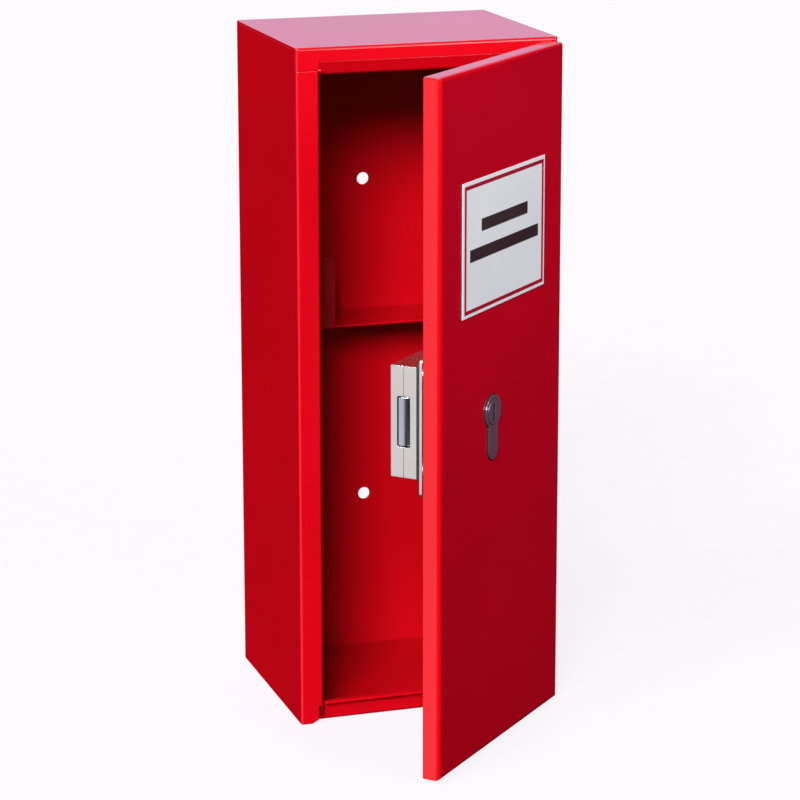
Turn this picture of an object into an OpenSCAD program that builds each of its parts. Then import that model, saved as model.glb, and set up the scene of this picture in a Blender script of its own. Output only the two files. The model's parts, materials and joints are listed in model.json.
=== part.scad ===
// Small wall cabinet folded from sheet steel, with an overlay door on
// concealed pins and a box lock worked by a profile half-cylinder.
// Origin: midpoint between the two wall holes, on the back face.
// +X to the right, +Y into the wall, +Z up. The door stands part open.

/* [Cabinet body] */
// Outer width of the body
body_w = 137; // [130:1:160]
// Outer height of the body
body_h = 350; // [330:1:420]
// Depth of the body without the door
body_d = 112; // [104:1:140]
// Sheet thickness of every folded piece
sheet = 1.2; // [1:0.1:1.4]
// Outside radius of the body folds
fold_r = 1.6; // [1.6:0.1:2.2]
// Width of the front frame at each side
jamb_w = 12; // [11:0.5:13]
// Depth of the folded leg behind each side frame
leg_d = 28; // [27:1:34]
// Height of the top front edge
brow_h = 7; // [6:0.5:9]
// Drop of the corner ears of the top
ear_h = 11.5; // [10:0.5:14]
// Inward slant of the header below the top front edge, in degrees
header_tilt = 21; // [15:1:30]
// Set-back of the bottom lip
lip_set = 4.5; // [4:0.5:6]
// Height of the bottom lip
lip_h = 10.7; // [9.5:0.1:13]
// Distance between the two wall holes
hole_gap = 175; // [150:1:200]
// Radius of each wall hole
hole_r = 3.25; // [2.5:0.25:4]

/* [Shelf] */
// Height of the shelf surface above the centre
shelf_z = 16.5; // [5:0.5:40]
// Depth of the shelf from the back
shelf_d = 37; // [25:1:60]
// Height of the upright tab above the shelf
tab_h = 37.5; // [20:0.5:50]
// Width of the upright tab
tab_w = 40; // [20:1:50]

/* [Door] */
// Opening angle of the door as stored
door_open = 44.6; // [0:0.1:105]
// Thickness of the door tray
door_t = 9.4; // [9:0.1:10.4]
// Outside radius of the door folds
door_r = 2.5; // [2:0.1:2.8]
// Height left free above and below the door
door_in = 2; // [1.5:0.5:4]

/* [Sign] */
// Width of the sign plate
sign_w = 92; // [70:1:100]
// Height of the sign plate
sign_h = 66; // [50:1:80]
// Height of the sign centre
sign_z = 86.6; // [80:0.2:110]
// Thickness of the sign plate
sign_t = 0.4; // [0.3:0.1:1.5]

/* [Lock] */
// Height of the lock centre
lock_z = 1; // [-20:1:4]
// Distance from the lock front to the cylinder axis
backset = 38.5; // [37:0.5:40]
// Height of the lock case
case_h = 56; // [54:1:60]
// Depth of the lock case
case_d = 60; // [58:1:64]
// Height of the bolt opening in the strike
strike_l = 28; // [27:1:34]

/* [Hidden] */
$fn = 64;
hw = body_w / 2;
hh = body_h / 2;
t = sheet;
// gap that lets a square sheet corner clear the inside of a fold
seat = (fold_r - t) * (1 - sqrt(0.5)) + 0.02;
rest_gap = 0.8;
pin_x = 5;
pin_y = 3.6;
hx = hw - pin_x;
hy = -body_d - rest_gap - door_t + pin_y;
door_w = body_w;
dh = hh - door_in;
seam_z = hh - ear_h;
lip_y = -body_d + lip_set;
header_l = 8.1;
header_r = 2.2;
header_hem = 3;
lip_low = 7;
lip_gap = 0.8;
slit_x = hw - jamb_w + 1.7;
slit_w = 0.5;
slit_h = 9;
fold_end_h = 4.8;
shelf_lip = 10;
tab_r = 4;
lug_t = 2.2;
lug_foot_h = 16;
eye_r = 2.2;
lug_z = dh - t - 0.7 - lug_t;
pin_r = 1.25;
collar_r = 1.65;
collar_h = 0.45;
run = 0.05;
side_return = 6;
lug_room = 22;
ink_t = 0.15;
front_a = door_w - 18;
cyl_a = front_a - backset;
case_b = 22;
case_t = 14;
mid_b = case_b + case_t / 2;
plate_t = 1.6;
plate_b = case_b - 1.8 - plate_t;
case_w = 1.2;
seam = 0.02;
screw_hole_r = 2.15;
screw_r = 1.9;
screw_head_r = 3.15;
screw_head_h = 1.25;
screw_z = case_h / 2 - 4.2;
screw_a0 = front_a - 4.5;
screw_a1 = front_a - case_d + 4.5;
head_r = 8.5;
neck_r = 5;
foot_z = 33 - head_r - neck_r;
plug_r = 6.5;
cam_d = 4.8;
bolt_h = 24.4;
bolt_t = 6;
bolt_l = 22;
bolt_gap = 0.5;
bolt_hole_r = 1;
bevel_deg = 28;
tail_z = lock_z + 18;
tail_h = 3.4;
slot_a0 = front_a - 31;
slot_a1 = front_a - 43;
slot_r = 1.6;
strike_t = 1.5;
strike_gap = 4;
strike_y = -body_d - rest_gap - door_t + mid_b;
clear = 0.25;
red = [0.76, 0.02, 0.06];
zinc = [0.78, 0.77, 0.74];
nickel = [0.42, 0.42, 0.42];

// A box from its low corner to its high corner
module box(a, b) {
  translate(a)
    cube([b[0] - a[0], b[1] - a[1], b[2] - a[2]]);
}

// A quarter ring in the first quadrant
module bend(r, w) {
  intersection() {
    difference() {
      circle(r = r);
      circle(r = r - w);
    }
    square(r + 1);
  }
}

// A flat strip of a folded profile, from low corner to high corner
module strip(a, b) {
  translate(a)
    square([b[0] - a[0], b[1] - a[1]]);
}

// Flat rectangle with rounded corners
module rounded(a, b, r) {
  strip([a[0] + r, a[1]], [b[0] - r, b[1]]);
  strip([a[0], a[1] + r], [b[0], b[1] - r]);
  for (x = [a[0] + r, b[0] - r])
    for (y = [a[1] + r, b[1] - r])
      translate([x, y])
        circle(r = r);
}

// A profile drawn in depth and height, run along X
module run_x(x0, x1) {
  translate([x0, 0, 0])
    rotate([90, 0, 90])
      linear_extrude(height = x1 - x0)
        children();
}

// Both hands of a piece
module both_sides() {
  children();
  mirror([1, 0, 0])
    children();
}

// Plan of one half of the back and one side
module side_plan() {
  strip([0, -t], [hw - fold_r, 0]);
  translate([hw - fold_r, -fold_r])
    bend(fold_r, t);
  strip([hw - t, -body_d + fold_r], [hw, -fold_r]);
}

// Plan of the front frame at one side
module jamb_plan(with_leg) {
  translate([hw - fold_r, -body_d + fold_r])
    rotate(-90)
      bend(fold_r, t);
  if (with_leg) {
    strip([hw - jamb_w + fold_r, -body_d], [hw - fold_r, -body_d + t]);
    translate([hw - jamb_w + fold_r, -body_d + fold_r])
      rotate(180)
        bend(fold_r, t);
    strip([hw - jamb_w, -body_d + fold_r], [hw - jamb_w + t, -body_d + leg_d]);
  } else {
    strip([hw - jamb_w, -body_d], [hw - fold_r, -body_d + t]);
  }
}

// What a rounded corner leaves outside it, in the first quadrant
module outside(r) {
  difference() {
    square(r + 1);
    circle(r = r);
  }
}

// Back, both sides and the front frame, folded from one sheet
module body_wrap() {
  color(red)
    difference() {
      union() {
        translate([0, 0, -hh])
          linear_extrude(height = seam_z + hh)
            both_sides() {
              side_plan();
              jamb_plan(true);
            }
        translate([0, 0, seam_z])
          linear_extrude(height = hh - t - seam_z)
            both_sides()
              side_plan();
      }
      for (sz = [-1, 1])
        translate([0, 1, sz * hole_gap / 2])
          rotate([90, 0, 0])
            cylinder(r = hole_r, h = t + 2);
      both_sides() {
        // relief above the bottom lip, slit beside the fold, cut corner
        box([hw - jamb_w - 1, lip_y - 0.5, -hh - 1],
          [hw - jamb_w + t + 0.2, -body_d + leg_d + 1, -hh + lip_low + 0.2]);
        box([hw - jamb_w - 1, -body_d - 1, -hh - 1],
          [slit_x + 0.2, lip_y, -hh + fold_end_h]);
        box([slit_x, -body_d - 1, -hh - 1],
          [slit_x + slit_w, -body_d + t + 1, -hh + slit_h]);
        translate([hw - jamb_w + 3.9, -body_d + t / 2, -hh])
          rotate([0, 28, 0])
            box([-6, -2, -4], [2.2, 2, 1]);
      }
      // opening for the bolt in the leg at the lock side
      box([-hw + jamb_w - t - 1, strike_y - strike_gap, lock_z - strike_l / 2],
        [-hw + jamb_w + 1, strike_y + strike_gap, lock_z + strike_l / 2]);
    }
}

// Flat ear of the top that closes the frame corner, at one side
module ear() {
  difference() {
    translate([0, 0, seam_z + 0.1])
      linear_extrude(height = ear_h - 0.1)
        jamb_plan(false);
    run_x(hw - jamb_w - 1, hw + 1)
      translate([-body_d + fold_r, hh - fold_r])
        rotate(90)
          outside(fold_r);
  }
}

// Top sheet with its front edge and two corner ears
module top_panel() {
  color(red)
    union() {
      difference() {
        run_x(-hw, hw) {
          strip([-body_d + fold_r, hh - t], [0, hh]);
          translate([-body_d + fold_r, hh - fold_r])
            rotate(90)
              bend(fold_r, t);
          strip([-body_d, hh - brow_h], [-body_d + t, hh - fold_r]);
        }
        both_sides()
          translate([hw - fold_r, 0, hh - brow_h - 1])
            linear_extrude(height = brow_h + 2) {
              translate([0, -body_d + fold_r])
                rotate(-90)
                  outside(fold_r);
              translate([0, -fold_r])
                outside(fold_r);
            }
      }
      both_sides()
        ear();
    }
}

// Slanted strip below the top front edge, rolled inward at its foot
module header_strip() {
  w = hw - jamb_w - 0.1;
  z1 = hh - brow_h;
  color(red)
    difference() {
      run_x(-w, w)
        translate([-body_d, z1])
          rotate(header_tilt) {
            strip([0, -header_l + header_r], [t, 0]);
            translate([header_r, -header_l + header_r])
              rotate(180)
                bend(header_r, t);
            strip([header_r, -header_l], [header_r + header_hem, -header_l + t]);
          }
      box([-hw, -body_d - 1, z1], [hw, -body_d + 3, z1 + 2]);
    }
}

// Floor with a front lip that turns forward at its top
module bottom_panel() {
  w = hw - t - seat;
  w_top = hw - jamb_w - 1.3;
  zt = -hh + lip_h;
  z_low = -hh + lip_low;
  color(red) {
    run_x(-w, w) {
      strip([lip_y + fold_r, -hh], [-t - seat, -hh + t]);
      translate([lip_y + fold_r, -hh + fold_r])
        rotate(180)
          bend(fold_r, t);
      strip([lip_y, -hh + fold_r], [lip_y + t, z_low]);
    }
    run_x(-w_top, w_top) {
      strip([lip_y, z_low - 1], [lip_y + t, zt - fold_r]);
      translate([lip_y + t - fold_r, zt - fold_r])
        bend(fold_r, t);
      strip([-body_d + lip_gap, zt - t], [lip_y + t - fold_r, zt]);
    }
  }
}

// Narrow shelf on the back, with lips and one upright tab
module shelf() {
  w = hw - t - seat;
  y0 = -shelf_d;
  y1 = -t - seat;
  z0 = shelf_z - shelf_lip;
  color(red) {
    box([-w, y0, shelf_z - t], [w, y1, shelf_z]);
    box([-w, y1 - t, z0], [w, y1, shelf_z - t / 2]);
    both_sides()
      box([w - t, y0 + 3, z0], [w, y1 - t / 2, shelf_z - t / 2]);
    translate([-w + 0.8, y0 + t, shelf_z - t / 2])
      rotate([90, 0, 0])
        linear_extrude(height = t) {
          strip([0, 0], [tab_w, tab_h - tab_r]);
          strip([0, 0], [tab_w - tab_r, tab_h]);
          translate([tab_w - tab_r, tab_h - tab_r])
            circle(r = tab_r);
        }
  }
}

// Stiffening plate around the bolt opening
module strike_plate() {
  x1 = -hw + jamb_w - t - seat;
  color(zinc)
    difference() {
      box([x1 - strike_t, strike_y - 7, lock_z - strike_l / 2 - 9],
        [x1, strike_y + 6.5, lock_z + strike_l / 2 + 9]);
      box([x1 - 3, strike_y - strike_gap, lock_z - strike_l / 2],
        [x1 + 1, strike_y + strike_gap, lock_z + strike_l / 2]);
    }
}

// Lug that carries a door pin, drawn for the top
module lug() {
  color(red)
    difference() {
      union() {
        box([hx - 5.5, -body_d - t, lug_z - lug_foot_h],
          [hx + 2, -body_d, lug_z + lug_t]);
        translate([0, 0, lug_z])
          linear_extrude(height = lug_t) {
            translate([hx, hy])
              circle(r = eye_r);
            strip([hx - 4.2, hy], [hx - 0.4, -body_d - t / 2]);
          }
      }
      translate([hx, hy, lug_z - 1])
        cylinder(r = pin_r + run, h = lug_t + 2);
    }
}

module hinge_lug_top() {
  lug();
}

module hinge_lug_bottom() {
  mirror([0, 0, 1])
    lug();
}

// Door placement: local -X runs to the free edge, local +Y to the inside
module on_door() {
  translate([hx, hy, 0])
    rotate([0, 0, door_open])
      translate([pin_x, -pin_y, 0])
        children();
}

// Round-edged tray blank, w wide, h half high, from depth 0 to d
module tray(w, h, d, r, in) {
  intersection() {
    translate([0, 0, -h + in])
      linear_extrude(height = 2 * (h - in)) {
        strip([-w + in, in + r], [-in, d]);
        strip([-w + in + r, in], [-in - r, d]);
        translate([-w + in + r, in + r])
          circle(r = r);
        translate([-in - r, in + r])
          circle(r = r);
      }
    run_x(-w - 1, 1) {
      strip([in + r, -h + in], [d, h - in]);
      strip([in, -h + in + r], [d, h - in - r]);
      translate([in + r, h - in - r])
        circle(r = r);
      translate([in + r, -h + in + r])
        circle(r = r);
    }
  }
}

// Outline of the profile cylinder, grown by g, through depths y0 to y1
module profile(g, y0, y1) {
  translate([-cyl_a, y1, lock_z])
    rotate([90, 0, 0])
      linear_extrude(height = y1 - y0) {
        circle(r = head_r + g);
        strip([-neck_r - g, -foot_z], [neck_r + g, 0]);
        translate([0, -foot_z])
          circle(r = neck_r + g);
      }
}

// Round hole or shaft along the door depth
module along_y(a, y0, y1, z, r) {
  translate([-a, y1, z])
    rotate([90, 0, 0])
      cylinder(r = r, h = y1 - y0);
}

// Folded door tray
module door_pan() {
  color(red)
    on_door()
      difference() {
        tray(door_w, dh, door_t, door_r, 0);
        tray(door_w, dh, door_t + 1, door_r - t, t);
        profile(0.3, -1, t + 1);
        // hinge side return is lower and stops short of the lugs
        box([-t - 0.1, side_return, -dh + t + 0.01],
          [1, door_t + 1, dh - t - 0.01]);
        for (sz = [-1, 1])
          box([-t - 0.1, door_r, sz * (dh - t) - (sz > 0 ? lug_room : 0)],
            [1, door_t + 1, sz * (dh - t) + (sz > 0 ? 0 : lug_room)]);
        // returns are rounded about the pin so that they clear the frame
        translate([0, 0, -dh - 1])
          linear_extrude(height = body_h + 2)
            difference() {
              strip([-pin_x, pin_y], [1, door_t + 1]);
              translate([-pin_x, pin_y])
                circle(r = side_return);
            }
        translate([-pin_x, pin_y, -dh - 1])
          cylinder(r = pin_r + 0.02, h = body_h + 2);
      }
}

// Pin with a collar, drawn for the top
module pin() {
  color(zinc)
    translate([hx, hy, 0]) {
      translate([0, 0, lug_z - 1])
        cylinder(r = pin_r, h = dh - 0.1 - lug_z + 1);
      translate([0, 0, lug_z + lug_t + 0.05])
        cylinder(r = collar_r, h = collar_h);
    }
}

module hinge_pin_top() {
  pin();
}

module hinge_pin_bottom() {
  mirror([0, 0, 1])
    pin();
}

// Flat rectangle on the door front, from depth y0 to y1
module on_face(w, h, y0, y1, z) {
  box([-door_w / 2 - w / 2, y0, z - h / 2],
    [-door_w / 2 + w / 2, y1, z + h / 2]);
}

module sign_plate() {
  color([0.93, 0.93, 0.94])
    on_door()
      on_face(sign_w, sign_h, -sign_t, 0, sign_z);
}

module sign_border() {
  color([0.6, 0.03, 0.08])
    on_door()
      difference() {
        on_face(sign_w - 3.6, sign_h - 3.6, -sign_t - ink_t, -sign_t, sign_z);
        on_face(sign_w - 7.2, sign_h - 7.2, -2, 0, sign_z);
      }
}

module sign_bar_upper() {
  color([0.1, 0.1, 0.11])
    on_door()
      on_face(sign_w * 0.56, 6, -sign_t - ink_t, -sign_t, sign_z + 10);
}

module sign_bar_lower() {
  color([0.1, 0.1, 0.11])
    on_door()
      on_face(sign_w * 0.83, 6, -sign_t - ink_t, -sign_t, sign_z - 3.4);
}

// Standing plate in the door, with rounded corners
module slab(a0, a1, y0, y1, z0, z1, r) {
  translate([0, y1, 0])
    rotate([90, 0, 0])
      linear_extrude(height = y1 - y0)
        rounded([-a1, z0], [-a0, z1], r);
}

// Holes for the four long screws
module screw_holes(y0, y1) {
  for (a = [screw_a0, screw_a1])
    for (sz = [-1, 1])
      along_y(a, y0, y1, lock_z + sz * screw_z, screw_hole_r);
}

module lock_plate() {
  color(zinc)
    on_door()
      difference() {
        slab(front_a - case_d - 2, front_a + 0.8, plate_b, plate_b + plate_t,
          lock_z - case_h / 2 - 9, lock_z + case_h / 2 + 4.5, 2.4);
        profile(clear, plate_b - 1, plate_b + plate_t + 1);
        screw_holes(plate_b - 1, plate_b + plate_t + 1);
      }
}

module lock_spacer() {
  color([0.05, 0.05, 0.05])
    on_door()
      difference() {
        slab(front_a - case_d + 1, front_a - 0.4, plate_b + plate_t, case_b,
          lock_z - case_h / 2 - 2, lock_z + case_h / 2 + 2, 2);
        profile(clear, plate_b, case_b + 1);
        screw_holes(plate_b, case_b + 1);
      }
}

// Hollow half of the lock case between two depths
module shell(y0, y1, floor0, floor1) {
  w = case_w;
  difference() {
    box([-front_a, y0, lock_z - case_h / 2],
      [-front_a + case_d, y1, lock_z + case_h / 2]);
    box([-front_a + w, floor0, lock_z - case_h / 2 + w],
      [-front_a + case_d - w, floor1, lock_z + case_h / 2 - w]);
    run_x(-front_a - 1, -front_a + w + 1)
      rounded([mid_b - bolt_t / 2 - bolt_gap, lock_z - bolt_h / 2 - bolt_gap],
        [mid_b + bolt_t / 2 + bolt_gap, lock_z + bolt_h / 2 + bolt_gap],
        bolt_hole_r);
    profile(clear, y0 - 1, y1 + 1);
    screw_holes(y0 - 1, y1 + 1);
  }
}

module lock_case() {
  color(zinc)
    on_door()
      shell(case_b, mid_b - seam, case_b + case_w, mid_b + 1);
}

module lock_cover() {
  color(zinc)
    on_door()
      difference() {
        shell(mid_b + seam, case_b + case_t, mid_b - 1, case_b + case_t - case_w);
        for (a = [screw_a0, screw_a1])
          for (sz = [-1, 1])
            translate([-a, case_b + case_t + 0.01, lock_z + sz * screw_z])
              rotate([90, 0, 0])
                cylinder(r1 = 3.3, r2 = 2.1, h = 1.22);
      }
}

// Fixed pin that guides the bolt tail
module lock_guide_pin() {
  color(zinc)
    on_door()
      along_y(slot_a0, case_b + case_w, case_b + case_t - case_w,
        tail_z, slot_r - 0.1);
}

// Places its children at the four fixing points of the lock
module at_screws() {
  for (a = [screw_a0, screw_a1])
    for (sz = [-1, 1])
      translate([-a, 0, lock_z + sz * screw_z])
        children();
}

// Spacer tubes between the door sheet and the lock plate
module standoffs() {
  color(zinc)
    on_door()
      at_screws()
        difference() {
          along_y(0, t, plate_b, 0, 3);
          along_y(0, t + 3, plate_b + 1, 0, 2);
        }
}

// Long countersunk screws, flush with the lock cover
module lock_screws() {
  y1 = case_b + case_t;
  color(zinc)
    on_door()
      at_screws()
        difference() {
          union() {
            along_y(0, t + 6, y1 - 1, 0, screw_r);
            translate([0, y1, 0])
              rotate([90, 0, 0])
                cylinder(r1 = screw_head_r, r2 = screw_r, h = screw_head_h);
          }
          box([-4, y1 - 0.6, -0.4], [4, y1 + 1, 0.4]);
        }
}

// Profile half-cylinder with a gap for the cam
module cylinder_body() {
  color(nickel)
    on_door()
      difference() {
        profile(0, mid_b - 30, mid_b + 10);
        along_y(cyl_a, mid_b - 31, mid_b - 4, lock_z, plug_r + run);
        box([-cyl_a - 10, mid_b - 5, lock_z - 15],
          [-cyl_a + 10, mid_b + 5, lock_z + 10]);
      }
}

// Turning plug with its keyway
module cylinder_plug() {
  color([0.5, 0.5, 0.5])
    on_door()
      difference() {
        along_y(cyl_a, mid_b - 30.3, mid_b - cam_d, lock_z, plug_r);
        box([-cyl_a - 1, mid_b - 31, lock_z - 5.2],
          [-cyl_a + 1, mid_b - 10, lock_z + 3.6]);
      }
}

// Cam that drives the bolt
module cylinder_cam() {
  color(zinc)
    on_door() {
      along_y(cyl_a, mid_b - cam_d, mid_b + cam_d, lock_z, 7.4);
      translate([-cyl_a, mid_b - cam_d, lock_z])
        rotate([0, 28, 0])
          box([-4, 0, -13], [4, 2 * cam_d, 0]);
    }
}

// Bolt with a bevelled nose and a slotted tail
module lock_bolt() {
  b0 = mid_b - bolt_t / 2;
  b1 = mid_b + bolt_t / 2;
  z0 = lock_z - bolt_h / 2;
  z1 = lock_z + bolt_h / 2;
  color([0.66, 0.68, 0.7])
    on_door()
      difference() {
        union() {
          box([-front_a + 0.2, b0, z0], [-front_a + bolt_l, b1, z1]);
          box([-front_a + bolt_l - 6, b0 + 1, z1 - 1],
            [-front_a + bolt_l, b1 - 1, tail_z + tail_h]);
          box([-front_a + bolt_l - 6, b0 + 1, tail_z - tail_h],
            [-front_a + 53, b1 - 1, tail_z + tail_h]);
        }
        translate([-front_a + 0.2, b1 - bolt_t * 0.55, 0])
          rotate([0, 0, bevel_deg])
            box([-9, -9, z0 - 1], [0, 0, z1 + 1]);
        translate([0, b1, 0])
          rotate([90, 0, 0])
            linear_extrude(height = bolt_t) {
              for (a = [slot_a0, slot_a1])
                translate([-a, tail_z])
                  circle(r = slot_r);
              strip([-slot_a0, tail_z - slot_r], [-slot_a1, tail_z + slot_r]);
            }
      }
}

body_wrap();
top_panel();
header_strip();
bottom_panel();
shelf();
strike_plate();
hinge_lug_top();
hinge_lug_bottom();
door_pan();
hinge_pin_top();
hinge_pin_bottom();
sign_plate();
sign_border();
sign_bar_upper();
sign_bar_lower();
lock_plate();
lock_spacer();
lock_case();
lock_cover();
lock_guide_pin();
standoffs();
lock_screws();
cylinder_body();
cylinder_plug();
cylinder_cam();
lock_bolt();
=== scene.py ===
"""Looks of a small red wall cabinet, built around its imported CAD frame.

Units are metres and the frame is the CAD's: +X right, +Y into the wall, +Z up.
"""
import json
import math

import bmesh
import bpy
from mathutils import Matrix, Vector


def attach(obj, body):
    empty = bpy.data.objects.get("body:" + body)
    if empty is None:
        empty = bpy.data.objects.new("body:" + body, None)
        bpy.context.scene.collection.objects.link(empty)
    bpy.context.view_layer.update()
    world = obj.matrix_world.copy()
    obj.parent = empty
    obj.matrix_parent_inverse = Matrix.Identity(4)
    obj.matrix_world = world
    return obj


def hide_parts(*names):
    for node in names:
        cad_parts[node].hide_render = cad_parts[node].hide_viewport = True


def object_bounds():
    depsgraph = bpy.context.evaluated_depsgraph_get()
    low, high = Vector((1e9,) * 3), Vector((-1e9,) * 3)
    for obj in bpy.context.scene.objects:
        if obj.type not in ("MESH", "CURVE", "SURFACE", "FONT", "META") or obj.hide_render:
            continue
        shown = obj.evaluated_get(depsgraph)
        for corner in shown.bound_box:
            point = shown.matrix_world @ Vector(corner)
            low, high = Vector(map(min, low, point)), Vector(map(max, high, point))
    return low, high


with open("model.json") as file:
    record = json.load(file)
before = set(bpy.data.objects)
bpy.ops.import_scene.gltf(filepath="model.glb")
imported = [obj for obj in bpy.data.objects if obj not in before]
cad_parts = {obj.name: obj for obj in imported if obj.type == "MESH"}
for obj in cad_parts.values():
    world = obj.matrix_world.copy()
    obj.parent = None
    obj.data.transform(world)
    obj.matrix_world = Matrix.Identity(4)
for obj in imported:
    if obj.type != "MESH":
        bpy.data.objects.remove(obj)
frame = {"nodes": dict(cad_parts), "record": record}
cad_bounds = [list(corner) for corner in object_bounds()]

MM = 0.001
record = frame["record"]
body_of = {node: body for body, nodes in record["behaviour"]["bodies"].items()
           for node in nodes}

# ---------------------------------------------------------------- camera
CAM_PLACE = Vector((-0.4836, -1.5593, 0.3872))
CAM_YAW = 18.165          # degrees to the right of +Y
CAM_PITCH = -13.62        # degrees, looking down
FOCAL = 139.4             # mm on a 36 mm sensor
SHIFT = (-0.015, -0.06)


def make_camera():
    data = bpy.data.cameras.new("camera")
    data.sensor_width = 36.0
    data.lens = FOCAL
    data.shift_x, data.shift_y = SHIFT
    data.clip_end = 50.0
    cam = bpy.data.objects.new("camera", data)
    cam.location = CAM_PLACE
    yaw, pitch = math.radians(CAM_YAW), math.radians(CAM_PITCH)
    ahead = Vector((math.sin(yaw) * math.cos(pitch),
                    math.cos(yaw) * math.cos(pitch), math.sin(pitch)))
    cam.rotation_euler = ahead.to_track_quat("-Z", "Y").to_euler()
    bpy.context.scene.collection.objects.link(cam)
    bpy.context.scene.camera = cam


# ---------------------------------------------------------------- materials
class Nodes:
    """A short way to write a node tree around one Principled shader."""

    def __init__(self, name):
        self.mat = bpy.data.materials.new(name)
        self.mat.use_nodes = True
        self.tree = self.mat.node_tree
        self.tree.nodes.clear()
        self.out = self.add("ShaderNodeOutputMaterial")
        self.bsdf = self.add("ShaderNodeBsdfPrincipled")
        self.link(self.bsdf.outputs[0], self.out.inputs["Surface"])
        self.place = self.add("ShaderNodeTexCoord").outputs["Object"]

    def add(self, kind, **values):
        node = self.tree.nodes.new(kind)
        for key, value in values.items():
            setattr(node, key, value)
        return node

    def link(self, a, b):
        self.tree.links.new(a, b)

    def set(self, **values):
        """Constant values on the shader's own sockets."""
        for key, value in values.items():
            self.bsdf.inputs[key.replace("_", " ")].default_value = value

    def noise(self, scale, detail=3.0, rough=0.5, stretch=None):
        source = self.place
        if stretch:
            mapping = self.add("ShaderNodeMapping")
            mapping.inputs["Scale"].default_value = stretch
            self.link(self.place, mapping.inputs["Vector"])
            source = mapping.outputs[0]
        tex = self.add("ShaderNodeTexNoise")
        tex.inputs["Scale"].default_value = scale
        tex.inputs["Detail"].default_value = detail
        tex.inputs["Roughness"].default_value = rough
        self.link(source, tex.inputs["Vector"])
        return tex.outputs["Fac"]

    def span(self, value, low, high, to_low=0.0, to_high=1.0):
        node = self.add("ShaderNodeMapRange")
        node.inputs["From Min"].default_value = low
        node.inputs["From Max"].default_value = high
        node.inputs["To Min"].default_value = to_low
        node.inputs["To Max"].default_value = to_high
        self.link(value, node.inputs["Value"])
        return node.outputs[0]

    def mix(self, factor, a, b):
        node = self.add("ShaderNodeMix", data_type="RGBA")
        self.link(factor, node.inputs["Factor"])
        for socket, value in ((node.inputs[6], a), (node.inputs[7], b)):
            if isinstance(value, tuple):
                socket.default_value = value
            else:
                self.link(value, socket)
        return node.outputs[2]

    def open_face(self, depth):
        """1 on open faces, falling to 0 inside narrow recesses: the mask of the painted
        shade.
        """
        node = self.add("ShaderNodeAmbientOcclusion", samples=8)
        node.inputs["Distance"].default_value = depth
        return self.span(node.outputs["AO"], 0.35, 0.9)

    def colour(self, socket):
        self.link(socket, self.bsdf.inputs["Base Color"])

    def rough(self, socket):
        self.link(socket, self.bsdf.inputs["Roughness"])

    def bump(self, height, distance, strength=1.0, radius=None):
        node = self.add("ShaderNodeBump")
        node.inputs["Strength"].default_value = strength
        node.inputs["Distance"].default_value = distance
        self.link(height, node.inputs["Height"])
        if radius:
            bevel = self.add("ShaderNodeBevel", samples=6)
            bevel.inputs["Radius"].default_value = radius
            self.link(bevel.outputs[0], node.inputs["Normal"])
        self.link(node.outputs[0], self.bsdf.inputs["Normal"])


def powder_coat(name, deep, bright):
    """Smooth gloss powder coat: faint orange peel and slight pooling."""
    n = Nodes(name)
    n.set(Metallic=0.0, IOR=1.5)
    cloud = n.span(n.noise(9.0, 3.0), 0.35, 0.65)
    n.colour(n.mix(cloud, deep, bright))
    n.rough(n.span(n.noise(60.0, 2.0), 0.3, 0.7, 0.196, 0.209))
    peel = n.noise(520.0, 2.0, 0.45)
    n.bump(peel, 0.00003, 0.35, radius=0.0004)
    return n.mat


def brushed(name, dark, light, rough=(0.28, 0.42), stretch=(1, 1, 0.04),
            metallic=1.0, recess=0.0):
    """Rolled or ground metal: fine lines along one direction; with recess set, painted
    shade darkens narrow recesses.
    """
    n = Nodes(name)
    n.set(Metallic=metallic, IOR=1.5)
    grain = n.noise(900.0, 4.0, 0.6, stretch)
    cloud = n.noise(45.0, 3.0)
    tone = n.mix(n.span(cloud, 0.3, 0.7), dark, light)
    if recess:
        # painted shade: near-black mixed in where the occlusion mask finds a narrow recess
        tone = n.mix(n.open_face(recess), PAINTED_RECESS_SHADE, tone)
    n.colour(tone)
    n.rough(n.span(grain, 0.3, 0.7, rough[0], rough[1]))
    n.bump(grain, 0.00001, 0.07, radius=0.00025)
    return n.mat


def satin(name, low, high, rough=0.45, speck=400.0):
    """Satin plastic or print with a faint mottle."""
    n = Nodes(name)
    n.set(Metallic=0.0, IOR=1.46)
    n.colour(n.mix(n.span(n.noise(30.0, 3.0), 0.35, 0.65), low, high))
    n.rough(n.span(n.noise(120.0, 2.0), 0.3, 0.7, rough - 0.05, rough + 0.06))
    n.bump(n.noise(speck, 2.0), 0.00001, 0.3, radius=0.0002)
    return n.mat


def floor_paint(name):
    """Pale floor that glows a little, so that shadows on it stay faint."""
    n = Nodes(name)
    n.set(IOR=1.4)
    n.colour(n.mix(n.span(n.noise(3.0, 2.0), 0.3, 0.7),
                   (0.060, 0.058, 0.060, 1), (0.066, 0.064, 0.066, 1)))
    n.set(Emission_Color=(0.84, 0.815, 0.84, 1), Emission_Strength=1.0)
    n.rough(n.span(n.noise(40.0, 2.0), 0.3, 0.7, 0.75, 0.85))
    return n.mat


# ---------------------------------------------------------------- stage
FLOOR_SIZE = 12.0         # from the object to the backdrop wall, in metres
FLOOR_SIDES = 96
FLOOR_GAP = 0.0002        # below the object


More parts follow.
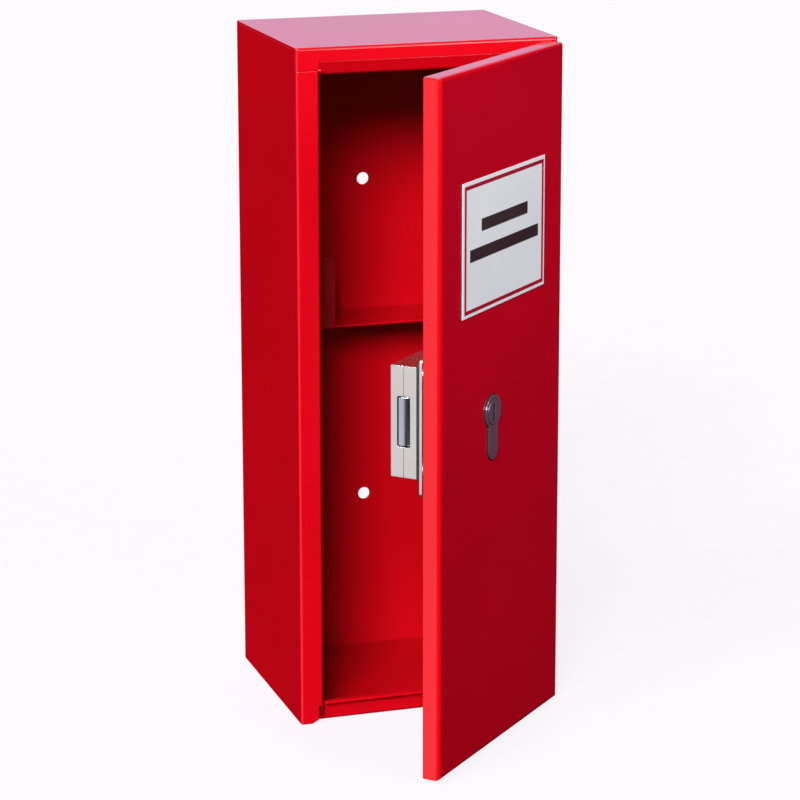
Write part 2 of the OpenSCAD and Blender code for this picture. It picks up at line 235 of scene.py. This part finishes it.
def make_floor():
    """Pale floor just under the object, turned up into a round backdrop."""
    low = cad_bounds[0][2] - FLOOR_GAP
    verts = []
    for radius, height in ((0.5, 0.0), (1.0, 0.0), (1.0, 1.0)):
        for i in range(FLOOR_SIDES):
            turn = 2.0 * math.pi * i / FLOOR_SIDES
            verts.append((radius * FLOOR_SIZE * math.cos(turn),
                          radius * FLOOR_SIZE * math.sin(turn),
                          low + height * FLOOR_SIZE))
    faces = [tuple(range(FLOOR_SIDES))]
    for ring in (0, FLOOR_SIDES):
        for i in range(FLOOR_SIDES):
            j = (i + 1) % FLOOR_SIDES
            faces.append((ring + i, ring + j, ring + FLOOR_SIDES + j,
                          ring + FLOOR_SIDES + i))
    mesh = bpy.data.meshes.new("floor")
    mesh.from_pydata(verts, [], faces)
    floor = bpy.data.objects.new("floor", mesh)
    bpy.context.scene.collection.objects.link(floor)
    mesh.materials.append(floor_paint("floor_paint"))
    # the floor is seen, but the object is lit and mirrored by the studio only
    floor.visible_glossy = False
    floor.visible_diffuse = False
    floor.visible_shadow = False


def towards(azimuth, elevation):
    """Unit vector to a light. azimuth is degrees to the left of the front."""
    a, e = math.radians(azimuth), math.radians(elevation)
    return Vector((-math.sin(a) * math.cos(e), -math.cos(a) * math.cos(e),
                   math.sin(e)))


def place_lamp(name, kind, power, place, way):
    """A lamp at a place, shining against the direction way."""
    data = bpy.data.lights.new(name, kind)
    data.energy = power
    lamp = bpy.data.objects.new(name, data)
    lamp.location = place
    lamp.rotation_euler = (-way).to_track_quat("-Z", "Y").to_euler()
    bpy.context.scene.collection.objects.link(lamp)
    return lamp


def make_sun(name, azimuth, elevation, angle, power, mirrored=True):
    """Distant soft light, angle degrees across."""
    way = towards(azimuth, elevation)
    lamp = place_lamp(name, "SUN", power, way, way)
    lamp.data.angle = math.radians(angle)
    lamp.visible_glossy = mirrored


def make_softbox(name, azimuth, elevation, distance, aim, size, power):
    """Round softbox near the object, so that its light falls off with height."""
    way = towards(azimuth, elevation)
    lamp = place_lamp(name, "AREA", power, Vector(aim) + way * distance, way)
    lamp.data.shape = "DISK"
    lamp.data.size = size


def make_world(ambient, glows):
    """Studio surround: dim all round, with soft bright regions."""
    world = bpy.data.worlds.new("studio")
    world.use_nodes = True
    tree = world.node_tree
    back = tree.nodes["Background"]
    way = tree.nodes.new("ShaderNodeTexCoord").outputs["Generated"]
    total = None
    for direction, edge, core, colour in glows:
        dot = tree.nodes.new("ShaderNodeVectorMath")
        dot.operation = "DOT_PRODUCT"
        dot.inputs[1].default_value = Vector(direction).normalized()
        tree.links.new(way, dot.inputs[0])
        ramp = tree.nodes.new("ShaderNodeMapRange")
        ramp.interpolation_type = "SMOOTHSTEP"
        ramp.inputs["From Min"].default_value = edge
        ramp.inputs["From Max"].default_value = core
        tree.links.new(dot.outputs["Value"], ramp.inputs["Value"])
        tint = tree.nodes.new("ShaderNodeVectorMath")
        tint.operation = "SCALE"
        tint.inputs[0].default_value = colour
        tree.links.new(ramp.outputs[0], tint.inputs["Scale"])
        add = tree.nodes.new("ShaderNodeVectorMath")
        add.operation = "ADD"
        tree.links.new(tint.outputs[0], add.inputs[0])
        if total is None:
            add.inputs[1].default_value = ambient
        else:
            tree.links.new(total, add.inputs[1])
        total = add.outputs[0]
    tree.links.new(total, back.inputs["Color"])
    back.inputs["Strength"].default_value = 1.0
    bpy.context.scene.world = world


# direction, where the glow starts and is full (cosines), colour
AMBIENT = (0.001, 0.001, 0.006)
GLOWS = [
    ((0.31, 0.92, 0.24), 0.85, 0.97, (0.68, 0.75, 1.11)),     # behind, above
    ((-0.92, -0.31, -0.24), 0.86, 0.95, (0.92, 0.80, 0.83)),  # left, low
    ((0.94, 0.33, 0.0), 0.866, 0.99, (0.30, 0.005, 0.05)),    # right, behind
    ((0.30, -0.50, 0.85), 0.88, 0.97, (0.25, 0.27, 0.32)),     # overhead, front
]


# ---------------------------------------------------------------- dressing
RED_DEEP = (0.36, 0.0006, 0.004, 1)
RED_BRIGHT = (0.39, 0.0008, 0.005, 1)
# near-black of the painted shade in narrow recesses of the metal
PAINTED_RECESS_SHADE = (0.012, 0.011, 0.014, 1)
MATERIALS = {
    "body_paint": powder_coat("body_paint", RED_DEEP, RED_BRIGHT),
    "door_paint": powder_coat("door_paint", RED_DEEP, RED_BRIGHT),
    "zinc_steel": brushed("zinc_steel", (0.62, 0.62, 0.63, 1),
                          (0.72, 0.71, 0.70, 1)),
    "lock_grey": brushed("lock_grey", (0.66, 0.69, 0.665, 1),
                         (0.71, 0.74, 0.71, 1), (0.26, 0.30)),
    "bolt_steel": brushed("bolt_steel", (0.42, 0.50, 0.58, 1),
                          (0.52, 0.60, 0.68, 1), (0.15, 0.25)),
    # nickel: painted shade darkens its keyway and other recesses within 3 mm
    "nickel": brushed("nickel", (0.15, 0.15, 0.19, 1),
                      (0.21, 0.21, 0.26, 1), (0.14, 0.22), (1, 1, 1), 0.75,
                      recess=0.003),
    "spacer_black": satin("spacer_black", (0.010, 0.010, 0.012, 1),
                          (0.018, 0.018, 0.02, 1), 0.5),
    "sign_white": satin("sign_white", (0.60, 0.635, 0.68, 1),
                        (0.63, 0.665, 0.70, 1), 0.38),
    "sign_red": satin("sign_red", (0.26, 0.004, 0.012, 1),
                      (0.30, 0.006, 0.016, 1), 0.4),
    "sign_ink": satin("sign_ink", (0.012, 0.012, 0.014, 1),
                      (0.02, 0.02, 0.022, 1), 0.42),
}


# rounding of the cut edges, in mm: coated sheet is rounder than bare metal
EDGE = {"body_paint": 0.28, "door_paint": 0.28, "zinc_steel": 0.2, "lock_grey": 0.12,
        "bolt_steel": 0.3, "nickel": 0.3, "spacer_black": 0.3, "sign_white": 0.12}
SHARP = math.radians(28)
FLAT = math.radians(0.4)
WELD_WITHIN = 1e-6


def shade_smooth(bm):
    """Smooth shading, broken at the edges that stay sharp."""
    for face in bm.faces:
        face.smooth = True
    for edge in bm.edges:
        edge.smooth = not edge.is_manifold or edge.calc_face_angle() < SHARP


def rounded_copy(node, width):
    """A welded copy of a CAD node's mesh, its outer sharp edges rounded off."""
    bm = bmesh.new()
    bm.from_mesh(frame["nodes"][node].data)
    low = [min(v.co[i] for v in bm.verts) for i in range(3)]
    high = [max(v.co[i] for v in bm.verts) for i in range(3)]
    bmesh.ops.remove_doubles(bm, verts=bm.verts, dist=WELD_WITHIN)
    bmesh.ops.dissolve_limit(bm, angle_limit=FLAT, verts=bm.verts, edges=bm.edges)
    sharp = [e for e in bm.edges if e.is_convex and e.calc_face_angle() > SHARP]
    bmesh.ops.bevel(bm, geom=sharp, offset=width * MM, offset_type="OFFSET",
                    segments=3, profile=0.5, affect="EDGES", clamp_overlap=False)
    # rounding errors of the bevel are kept within the node's own box
    for vert in bm.verts:
        for i in range(3):
            vert.co[i] = min(max(vert.co[i], low[i]), high[i])
    shade_smooth(bm)
    mesh = bpy.data.meshes.new(node + "_skin")
    bm.to_mesh(mesh)
    bm.free()
    return mesh


def dress():
    """Each CAD node gets its slot's material, on a copy with rounded edges where its slot
    has an edge width.
    """
    for part in record["subparts"]:
        node, slot = part["node"], part["material_slot"]
        material = MATERIALS[slot]
        shown = frame["nodes"][node]
        if slot in EDGE:
            shown = bpy.data.objects.new(node + "_skin", rounded_copy(node, EDGE[slot]))
            bpy.context.scene.collection.objects.link(shown)
            even = shown.modifiers.new("even", "WEIGHTED_NORMAL")
            even.keep_sharp = True
            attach(shown, body_of[node])
            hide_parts(node)
        shown.data.materials.clear()
        shown.data.materials.append(material)


# weld spots where the ears meet the frame legs, in mm from the CAD frame's origin
EAR_FOOT = 163.5
LEG_IN = 56.2
WELD = (0.9, 0.25, 0.7)   # half sizes of a bead
WELD_IN = 0.08            # depth of its middle behind the frame's front
LUMPS = 0.14              # unevenness, as a share of the size


def cad_front_of(node):
    """The foremost depth of a CAD node."""
    shape = frame["nodes"][node]
    return min((shape.matrix_world @ v.co).y for v in shape.data.vertices)


def weld_spot(name, side):
    """A low irregular bead of weld metal under the paint. side is -1 or 1."""
    bm = bmesh.new()
    bmesh.ops.create_uvsphere(bm, u_segments=24, v_segments=16, radius=1.0)
    middle = Vector((side * LEG_IN * MM, cad_front_of("body_wrap") + WELD_IN * MM,
                     EAR_FOOT * MM))
    for vert in bm.verts:
        x, y, z = vert.co
        lump = 1.0 + LUMPS * math.sin(5.0 * x + 2.0 * z + side) * math.cos(4.0 * z)
        vert.co = Vector((x * WELD[0] * lump, y * WELD[1], z * WELD[2] * lump)) * MM
        vert.co += middle
    for face in bm.faces:
        face.smooth = True
    mesh = bpy.data.meshes.new(name)
    bm.to_mesh(mesh)
    bm.free()
    bead = bpy.data.objects.new(name, mesh)
    bpy.context.scene.collection.objects.link(bead)
    mesh.materials.append(MATERIALS["body_paint"])
    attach(bead, body_of["body_wrap"])


def light_up():
    """Soft key and side light from the left, a fill box, a faint rim from behind."""
    make_sun("key", azimuth=28.0, elevation=28.0, angle=22.0, power=6.5)
    make_sun("side", azimuth=62.0, elevation=40.0, angle=28.0, power=2.8)
    make_sun("rim", azimuth=-160.0, elevation=12.0, angle=30.0, power=1.0,
             mirrored=False)
    make_softbox("fill", azimuth=-27.0, elevation=28.0, distance=0.66,
                 aim=(0.0, -0.1, 0.14), size=0.35, power=2.6)


make_camera()
make_floor()
make_world(AMBIENT, GLOWS)
light_up()
dress()
weld_spot("weld_left", -1)
weld_spot("weld_right", 1)
bpy.context.scene.view_settings.view_transform = "Standard"
